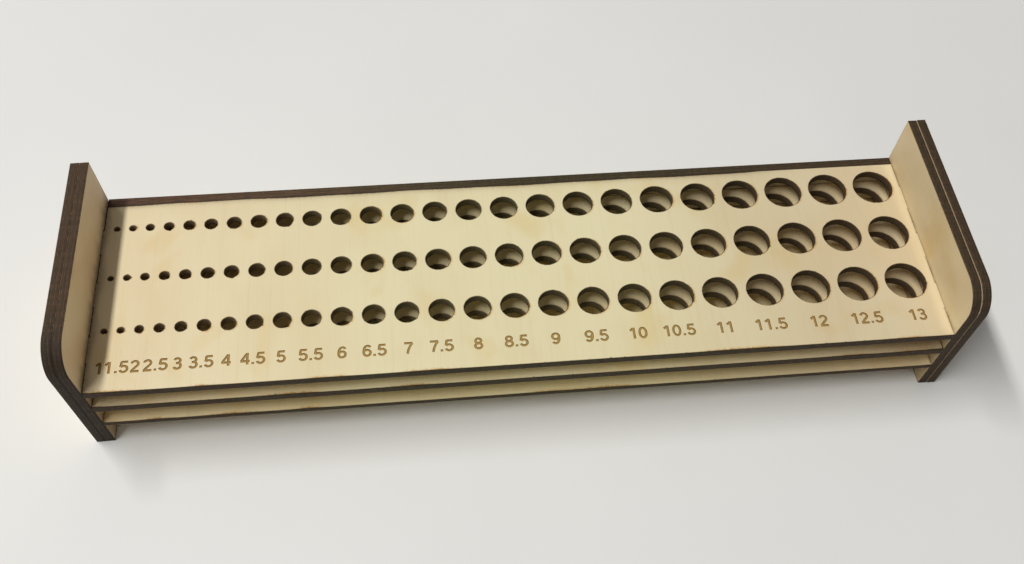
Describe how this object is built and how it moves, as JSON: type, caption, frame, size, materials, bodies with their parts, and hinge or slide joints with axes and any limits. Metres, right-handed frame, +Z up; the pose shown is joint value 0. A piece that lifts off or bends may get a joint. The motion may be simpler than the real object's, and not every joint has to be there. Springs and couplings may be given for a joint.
{
  "type": "drill bit stand",
  "caption": "Plywood bench stand for twist drills: three rows of graded through-holes in two boards over a floor board, between two raised double-layer sides.",
  "frame": {"origin": "middle of the footprint, on the bench under the sides", "axes": "+X along the rack towards the largest holes, +Y from the open front to the back panel, +Z up"},
  "size_m": [0.29, 0.075, 0.054],
  "materials": {
    "birch_board": "matte",
    "birch_side": "matte"
  },
  "bodies": {
    "root": {"top_board": "birch_board", "middle_board": "birch_board", "bottom_board": "birch_board", "back_panel": "birch_board", "left_inner_side": "birch_side", "left_outer_side": "birch_side", "right_inner_side": "birch_side", "right_outer_side": "birch_side"}
  },
  "joints": []
}
